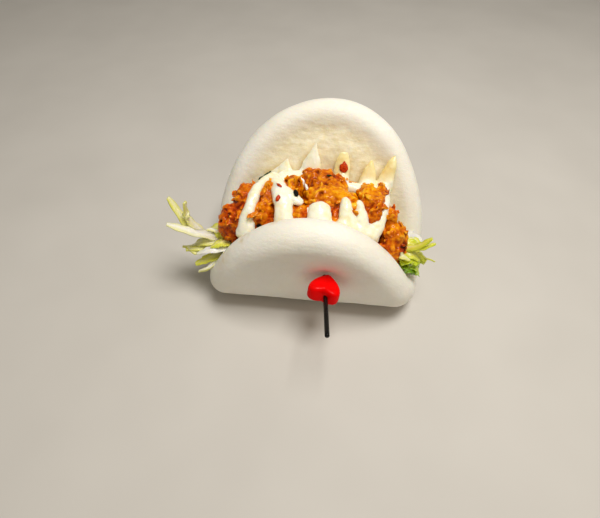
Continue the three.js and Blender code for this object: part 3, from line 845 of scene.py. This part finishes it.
def crust_tone_and_shade(points):
    """How golden the crust is at each point, with painted shade at the ends, blended from the
    places near it.
    """
    places = np.array(CRUST_TONES_AND_SHADE)
    apart = ((points[:, None, :2] - places[None, :, :2]) ** 2).sum(axis=2)
    weights = 1 / (apart + 4.0) ** 2
    return (weights * places[:, 2]).sum(axis=1) / weights.sum(axis=1)


def ridges(points, size, seed):
    """Sharp crests and round hollows, `size` millimetres across."""
    return 0.5 - 1.6 * np.abs(fractal(points, size, 2, seed))


def granules(points, size, seed):
    """Round bumps with sharp valleys, `size` millimetres across."""
    return 0.5 - cells(points, size, seed)


def torn_places(points):
    """The hollows that lie on these points: middle on the surface, radius and depth."""
    found = []
    for place, radius, depth in HOLLOWS:
        apart = np.linalg.norm(points - place, axis=1)
        if apart.min() < HOLLOW_REACH:
            found.append((points[apart.argmin()], radius, depth))
    return found


def torn_depths(points, torn, spread):
    """How deeply each point is torn open, with the hollows spread this much wider."""
    depths = np.zeros(len(points))
    for middle, radius, depth in torn:
        apart = np.linalg.norm(points - middle, axis=1) / spread
        depths += depth * smoothstep(radius, 0.5 * radius, apart)
    return depths


def swirled(points, size, reach, seed):
    """Points pushed about by noise, to bend what is worked out from them."""
    offset = Vector((seed * 7.7, seed * 13.3, seed * 3.1))
    pushes = [noise.noise_vector(Vector(p) / size + offset) for p in points]
    return points + reach * np.array(pushes)


def ridge_heights(mesh, rounds):
    """How far each vertex stands out from its surroundings, in millimetres."""
    points = points_of(mesh)
    edges = np.empty(len(mesh.edges) * 2, dtype=int)
    mesh.edges.foreach_get("vertices", edges)
    a, b = edges[0::2], edges[1::2]
    ends, others = np.concatenate([a, b]), np.concatenate([b, a])
    degree = np.bincount(ends, minlength=len(points))
    around = points.copy()
    for _ in range(rounds):
        around = np.stack([
            np.bincount(ends, weights=around[others, axis], minlength=len(points)) / degree
            for axis in range(3)
        ], axis=1)
    return ((points - around) * normals_of(mesh)).sum(axis=1)


def softened(node, material):
    """The solid's own form in fine faces, with its creases filled."""
    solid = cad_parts[node].data
    form = remeshed(joined(node + "_crust", [shape_of(solid)], material), FORM_FACE)
    for push in (CREASE_FILL, -CREASE_FILL):
        swell(form.data, push)
        remeshed(form, FORM_FACE)
    return smoothed(form, 10)


def fold_crust(form, torn, seed):
    """Raises folds and granules on a form, and sinks pits and the torn hollows."""
    points = points_of(form.data)
    bent = swirled(points, 5.0, 2.5, seed)
    folds = 0.8 * ridges(bent, 7.0, seed) + 0.9 * granules(bent, 4.0, seed + 1)
    pits = 1.4 * smoothstep(0.2, 0.08, cells(bent, 6.0, seed))
    swell(form.data, folds - pits - torn_depths(points, torn, 1.0))


def grow_flakes(node, form, material, rng):
    """The form with flakes and spurs melted into its skin."""
    area = sum(polygon.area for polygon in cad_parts[node].data.polygons) / MM ** 2
    samples = surface_samples(form.data, int(area / AREA_PER_FLAKE), rng)
    parts = [shape_of(form.data)]
    for i, (place, way) in enumerate(samples):
        parts.append(flake(rng, place, way) if i % 2 else spur(rng, place, way))
    bpy.data.objects.remove(form)
    return smoothed(remeshed(joined(node + "_crust", parts, material), CRUST_FACE), 3)


def make_pork(node, material):
    """The solid's own form, softened, folded, set with flakes and points and roughened."""
    seed = FIRST_PORK_SEED + PORK_NODES.index(node)
    form = softened(node, material)
    torn = torn_places(points_of(form.data))
    fold_crust(form, torn, seed)
    pork = grow_flakes(node, form, material, np.random.default_rng(seed))
    points = points_of(pork.data)
    rough = 0.4 * granules(points, 1.8, seed + 3) + 0.12 * ridges(points, 1.4, seed + 4)
    points = swell(pork.data, rough)
    # Painted shade in the torn hollows, spread past their edges.
    dark = TORN_SHADE * torn_depths(points, torn, TORN_SHADE_SPREAD)
    # Painted shade on low vertices and painted highlights on crests, from each vertex's height over
    # its surroundings.
    height = ridge_heights(pork.data, RELIEF_SHADE_ROUNDS) / RELIEF_SHADE_SPAN
    set_attribute(pork.data, "relief_shade_and_highlight", 0.5 + height - dark)
    # Fried colour with painted shade at the ends and in the torn hollows.
    set_attribute(pork.data, "fry_tone_and_shade", crust_tone_and_shade(points) - dark)
    return placed(pork, "crust", node)


# The mayonnaise

def on_heap(x, y, proud):
    """The place this far above the heap's top at x and y."""
    alongside = abs(x - HEAP_CREST[0]) / HEAP_SIDE_REACH
    from_crest = y - HEAP_CREST[1]
    fall = (HEAP_FRONT_FALL if from_crest < 0 else HEAP_BACK_FALL) * from_crest ** 2
    return x, y, HEAP_HEIGHT + proud - HEAP_SIDE_FALL * alongside ** 4 - fall


def on_back_flap(x, along, proud):
    """The place this far off the back flap's inner side."""
    y, z, in_y, in_z = (float(v) for v in middle_line(np.array(float(along))))
    out = THICKNESS / 2 + proud
    return x, y + in_y * out, z + in_z * out - SETTLING


def spike_stations(x, lean, root, tip, width, taper):
    """Rows of x, y, z, width and thickness up one spike."""
    rows = []
    for share in np.linspace(0, 1, 7):
        narrowing = (1 - share) ** taper
        at = on_back_flap(x + lean * share, root + (tip - root) * share, SPIKE_PROUD)
        wide = width[1] + (width[0] - width[1]) * narrowing
        rows.append((*at, wide, SPIKE_THICK[1] + (SPIKE_THICK[0] - SPIKE_THICK[1]) * narrowing))
    return rows


def ribbon_stations(start, end, bow, proud, width, thick):
    """Rows of x, y, z, width and thickness along one ribbon."""
    steps = max(2, round(math.dist(start, end) / 5))
    rows = []
    for share in np.linspace(0, 1, steps + 1):
        x = start[0] + (end[0] - start[0]) * share + bow * math.sin(math.pi * share)
        y = start[1] + (end[1] - start[1]) * share
        lift = proud[0] + (proud[1] - proud[0]) * share
        rows.append((*on_heap(x, y, lift), width[0] + (width[1] - width[0]) * share, thick))
    return rows


def rounded_tip(ring, centre, outward, reach):
    """Two narrower rings that round off a ribbon's end."""
    return [centre + (ring - centre) * narrow + unit(outward) * reach * grow
            for narrow, grow in ((0.8, 0.4), (0.4, 0.75))]


def soft_ribbon(stations, seed):
    """A rounded, uneven ribbon through rows of x, y, z, width and thickness."""
    length = np.linalg.norm(np.diff(np.array(stations)[:, :3], axis=0), axis=1).sum()
    rows = curve_through(stations, max(8, int(length / 0.8)))
    path = rows[:, :3]
    _, across, over = frames_along(path)
    turns = math.tau * np.arange(RIBBON_SIDES) / RIBBON_SIDES
    uneven = 1 + 0.16 * fractal(path, 5.0, 2, seed)
    rings = []
    for i, centre in enumerate(path):
        half_width = rows[i, 3] / 2 * uneven[i]
        half_thick = rows[i, 4] / 2
        rings.append(centre + np.outer(np.cos(turns) * half_width, across[i])
                     + np.outer(np.sin(turns) * half_thick, over[i]))
    first = rounded_tip(rings[0], path[0], path[0] - path[1], rows[0, 4] / 2)
    last = rounded_tip(rings[-1], path[-1], path[-1] - path[-2], rows[-1, 4] / 2)
    return tube(first[::-1] + rings + last)


def make_mayonnaise(material):
    """Spikes and ribbons in one skin, thin and yellow at the right of the back flap."""
    stations = [spike_stations(*spike) for spike in SPIKES]
    stations += [ribbon_stations(*ribbon) for ribbon in RIBBONS]
    parts = [soft_ribbon(rows, seed) for seed, rows in enumerate(stations)]
    sauce = remeshed(joined("mayonnaise_sauce", parts, material), SAUCE_FACE)
    smoothed(sauce, 9)
    points = points_of(sauce.data)
    waves = fractal(points, 4.5, 2, 31)
    swell(sauce.data, 0.28 * waves + 0.1 * fractal(points, 1.8, 2, 32))
    leaning = smoothstep(19, 23, points[:, 1]) * smoothstep(-2, 10, points[:, 0])
    # Thin where the sauce leans on the back flap, and painted shade in the hollows of its waves.
    thin_and_hollow_shade = 0.85 * leaning + 0.35 * smoothstep(0.0, -0.5, waves)
    set_attribute(sauce.data, "thin_and_hollow_shade", thin_and_hollow_shade)
    return placed(sauce, "mayonnaise", "mayonnaise")


# The lettuce

def wavy_section(t, width, phase, thick, ruffle):
    """Across a strip at t, from 0 to 1 along it: share, place, rise and half thickness."""
    half = width / 2 * (1 - 0.68 * t ** 2.2)
    rows = []
    for u in np.linspace(-1, 1, STRIP_CELLS + 1):
        wave = u * u * math.sin(7 * t * math.pi + phase + 1.5 * u)
        wave += 0.3 * math.sin(5 * u + 7 * t + phase)
        rib = 0.35 * math.exp(-(u / 0.3) ** 2) * (1 - t)
        half_thick = thick / 2 * (1 - 0.4 * u * u) + rib
        rows.append((u, half * u, 0.55 * ruffle * half / 3 * wave, half_thick))
    return rows


def wavy_strip(start, over, end, width, green, rng, thick, ruffle, torn=0.0):
    """A thin strip of leaf: points, faces, and how green each point is."""
    path = curve_through((start, over, end), STRIP_STEPS)
    _, across, lift = frames_along(path)
    phase = rng.uniform(0, math.tau)
    twist = rng.uniform(-0.5, 0.5)
    rings, greens = [], []
    for i, centre in enumerate(path):
        t = i / (STRIP_STEPS - 1)
        tear = torn * noise.noise(Vector((t * 14, phase, 0)))
        edge = 1 + tear + 0.12 * noise.noise(Vector((t * 5, 0, phase)))
        turn = twist * t
        side = across[i] * math.cos(turn) + lift[i] * math.sin(turn)
        out = lift[i] * math.cos(turn) - across[i] * math.sin(turn)
        upper, lower, shades = [], [], []
        for u, place, rise, half_thick in wavy_section(t, width, phase, thick, ruffle):
            middle = centre + side * place * edge + out * rise
            upper.append(middle + out * half_thick)
            lower.append(middle - out * half_thick)
            shades.append(green + 0.22 * abs(u) + 0.15 * t - 0.12)
        rings.append(upper[::-1] + lower)
        greens += shades[::-1] + shades
    return *tube(rings), greens


def tuft(rng, side, count, heights, reaches, headings, greens):
    """Short random shreds that fan out of one end of the bed."""
    strips = []
    for _ in range(count):
        height = rng.uniform(*heights)
        root = np.array([side * rng.uniform(36, 40), rng.uniform(-4, 3), height])
        reach = rng.uniform(*reaches)
        heading = rng.uniform(*headings)
        out = np.array([side * math.cos(heading), math.sin(heading), 0.0])
        over = root + out * reach * 0.55 + UP * rng.uniform(0, 4)
        end = root + out * reach + UP * rng.uniform(-6, 3)
        green = rng.uniform(*greens)
        strips.append((root, over, end, rng.uniform(2.0, 4.5), green))
    return strips


def strips_piece(name, strips, material, rng, **shape):
    parts, greens = [], []
    for strip in strips:
        points, faces, green = wavy_strip(*strip, rng, **shape)
        parts.append((points, faces))
        greens.extend(green)
    piece = joined(name, parts, material)
    set_attribute(piece.data, "green", greens)
    return piece


def lettuce_bed(material):
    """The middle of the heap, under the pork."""
    shares = np.linspace(-0.92, 0.92, 9)
    rows = [(47 * s, 1 - s * s, 23.5 - 3.5 * s * s, 15.0, 14.0) for s in shares]
    bed = remeshed(joined("lettuce_bed", [soft_ribbon(rows, 51)], material), BED_FACE)
    streaky = fractal(points_of(bed.data) * np.array([0.4, 1.0, 1.0]), 2.6, 3, 52)
    swell(bed.data, 1.1 * streaky)
    set_attribute(bed.data, "green", 0.35 + 0.3 * streaky)
    return bed


def make_lettuce(material):
    """The shreds and torn leaves at both ends, and the bed between them."""
    rng = np.random.default_rng(LETTUCE_SEED)
    shreds = [*SHREDS, *THREADS]
    for row in TUFTS:
        shreds += tuft(rng, *row)
    leaves = TORN_LEAVES + LEAF_SCRAPS
    pieces = (
        strips_piece("lettuce_shreds", shreds, material, rng, thick=0.8, ruffle=0.6),
        strips_piece("lettuce_leaves", leaves, material, rng, thick=0.5, ruffle=1.8, torn=0.5),
        lettuce_bed(material),
    )
    for piece in pieces:
        placed(piece, "lettuce", "shredded_lettuce")


def make_sliver():
    """The dark sliver of leaf behind the left band of sauce."""
    rng = np.random.default_rng(SLIVER_SEED)
    material = grained_material("dark_leaf", (18, 34, 16), (58, 82, 38), 1.2, 0.12, Roughness=0.4)
    sliver = strips_piece("leaf_sliver", [LEAF_SLIVER], material, rng, thick=0.5, ruffle=0.6,
                          torn=0.3)
    placed(sliver, "leaf", "leaf_strip")


# The pick

def onto_stick(points, roll=0.0):
    """Carries points made along +Y onto the line of the stick."""
    turn = (Matrix.Rotation(math.pi + STICK_SWING, 3, "Z") @ Matrix.Rotation(STICK_RISE, 3, "X")
            @ Matrix.Rotation(roll, 3, "Y"))
    return np.asarray(points) @ np.array(turn).T + HEART_AT


def heart_outline(turn):
    """A point of the heart's outline, with the tip and notch on the second axis."""
    along = HEART_ROUNDNESS * math.cos(turn) + HEART_POINT * abs(math.sin(turn))
    return HEART_HALF_WIDTH * math.sin(turn), along - HEART_SET_BACK


def make_heart(material):
    """Flat-faced and softly edged, with a low ridge up each face."""
    sides, loops = 96, 28
    outline = [heart_outline(math.tau * (j + 0.5) / sides) for j in range(sides)]
    rings = []
    for i in range(loops + 1):
        tilt = math.pi * (0.02 + 0.96 * i / loops)
        spread = math.sin(tilt) ** HEART_SIDE_POWER
        level = -math.copysign(abs(math.cos(tilt)) ** HEART_FACE_POWER, math.cos(tilt))
        ring = []
        for x, y in outline:
            roof = 1 - HEART_FALL * abs(x * spread) / HEART_HALF_WIDTH
            ring.append((x * spread, y * spread, HEART_HALF_THICKNESS * level * roof))
        rings.append(ring)
    points, faces = tube(rings)
    leaning = points @ np.array(Matrix.Rotation(HEART_LEAN, 3, "Z")).T
    heart = piece_from("heart_bead", onto_stick(leaning, HEART_ROLL), faces, material)
    placed(heart, "heart", "pick_heart")


def make_stick(material):
    """A rod with a sharpened inner end, a little uneven along its grain."""
    sides = 24
    profile = [(-STICK_INSIDE, 0.25), (-STICK_INSIDE + 2.2, 0.85), (-STICK_INSIDE + 3, 1.0)]
    profile += [(y, 1.0) for y in np.linspace(-12, STICK_OUTSIDE - 0.5, 40)]
    profile += [(STICK_OUTSIDE - 0.15, 0.96), (STICK_OUTSIDE, 0.8)]
    rings = []
    for y, share in profile:
        ring = []
        for j in range(sides):
            turn = math.tau * j / sides
            place = Vector((math.cos(turn) * 2, y * 0.25, math.sin(turn) * 2))
            radius = STICK_RADIUS * share * (1 + 0.03 * noise.noise(place))
            ring.append((radius * math.cos(turn), y, -radius * math.sin(turn)))
        rings.append(ring)
    points, faces = tube(rings)
    stick = piece_from("lacquered_stick", onto_stick(points), faces, material)
    placed(stick, "stick", "pick_stick")


# Seeds, flakes and crumbs

def surface_of(*pieces):
    """The pieces' faces, for finding what is on top or near."""
    return BVHTree.FromPolygons(*merged(shape_of(piece.data) for piece in pieces))


def grain(surface, x, y, half, turn, rough, pointed, seed):
    """A small uneven seed or flake lying on what is on top at x and y."""
    at, normal, _, _ = surface.ray_cast(Vector((x, y, 100)), Vector((0, 0, -1)))
    lying = normal.to_track_quat("Z", "Y").to_matrix() @ Matrix.Rotation(turn, 3, "Z")
    ways, faces = ball(3)
    points = []
    for way in ways:
        bulge = 1 + rough * noise.noise(way * 1.9 + Vector((seed, 0, 0)))
        taper = 1 - pointed * max(0.0, way.y) ** 2
        local = Vector((way.x * half[0] * taper, way.y * half[1], way.z * half[2] * taper)) * bulge
        points.append(lying @ local + at + normal * half[2] * 0.3)
    return points, faces


def grains(surface, rows, first_seed):
    """A seed or flake for each row of a table."""
    return [grain(surface, *row, first_seed + i) for i, row in enumerate(rows)]


def crumbs(surface):
    """Small crumbs of crust, scattered in clusters."""
    rng = np.random.default_rng(CRUMB_SEED)
    parts = []
    for x, y, spread, count in CRUMBS:
        for _ in range(count):
            half = rng.uniform(0.25, 0.7) * np.array([1.0, rng.uniform(0.7, 1.4), 0.6])
            place = rng.normal((x, y), spread / 2)
            turn = rng.uniform(0, 3)
            parts.append(grain(surface, *place, half, turn, 0.6, 0.2, rng.integers(99)))
    return parts


def make_toppings(surface):
    """Seeds, flakes, crumbs and bits of sauce, each kind as one piece."""
    lying = {
        "black_sesame_and_mark": ("leaf", grains(surface, SESAME_AND_DARK_MARK, 1)),
        "chili_flakes": ("heart", grains(surface, CHILI, 7)),
        "herb_fleck": ("leaf", grains(surface, HERB, 5)),
        "crust_crumbs": ("crust", crumbs(surface)),
        "white_bits": ("mayonnaise", grains(surface, WHITE_BITS, 40)),
    }
    for name, (slot, parts) in lying.items():
        dark, light, roughness = SPECK_LOOKS[name]
        material = grained_material(name, dark, light, 0.7, 0.1, Roughness=roughness,
                                    Specular_IOR_Level=0.15, Coat_Weight=0.04)
        placed(joined(name, parts, material), slot)


# The stage, the light and the camera

def set_stage():
    """A plain pale floor and the world's soft light."""
    finish = Finish("pale_floor", Roughness=0.7)
    clouds = finish.noise(60.0, 2.0)
    finish.colour(finish.ramp(clouds, (0.3, (200, 195, 187)), (0.7, (206, 201, 193))))
    half = FLOOR_HALF
    corners = [(-half, -half, 0), (half, -half, 0), (half, half, 0), (-half, half, 0)]
    floor = piece_from("floor", corners, [(0, 1, 2, 3)], finish.material)

    world = bpy.data.worlds.new("studio")
    bpy.context.scene.world = world
    world.use_nodes = True
    background = world.node_tree.nodes["Background"]
    background.inputs["Color"].default_value = WORLD_COLOUR
    background.inputs["Strength"].default_value = WORLD_STRENGTH


def add_light(name, place, aim, width, power, colour):
    """A soft square lamp."""
    light = bpy.data.lights.new(name, "AREA")
    light.size = width
    light.energy = power
    light.color = colour
    lamp = bpy.data.objects.new(name, light)
    bpy.context.collection.objects.link(lamp)
    lamp.location = place
    lamp.rotation_euler = (Vector(aim) - Vector(place)).to_track_quat("-Z", "Y").to_euler()


def add_camera():
    """The camera at the photograph's viewing angle."""
    camera = bpy.data.cameras.new("camera")
    camera.lens = CAMERA_LENS
    camera.sensor_width = CAMERA_SENSOR
    camera.sensor_fit = "HORIZONTAL"
    camera.clip_start = 0.01
    view = bpy.data.objects.new("camera", camera)
    bpy.context.collection.objects.link(view)
    view.location = Vector(CAMERA_AT) * MM
    view.rotation_euler = Vector(CAMERA_FORWARD).to_track_quat("-Z", "Y").to_euler()
    bpy.context.scene.camera = view


def main():
    noise.seed_set(NOISE_SEED)
    crust = crust_material()
    carriers = [make_pork(node, crust) for node in PORK_NODES]
    sauce = make_mayonnaise(mayonnaise_material())
    carriers += [sauce, make_bun(dough_material(), sauce)]
    make_lettuce(lettuce_material())
    make_sliver()
    make_heart(heart_material())
    make_stick(lacquer_material())
    make_toppings(surface_of(*carriers))
    set_stage()
    for lamp in LAMPS:
        add_light(*lamp)
    add_camera()
    bpy.context.scene.view_settings.view_transform = "Standard"


main()
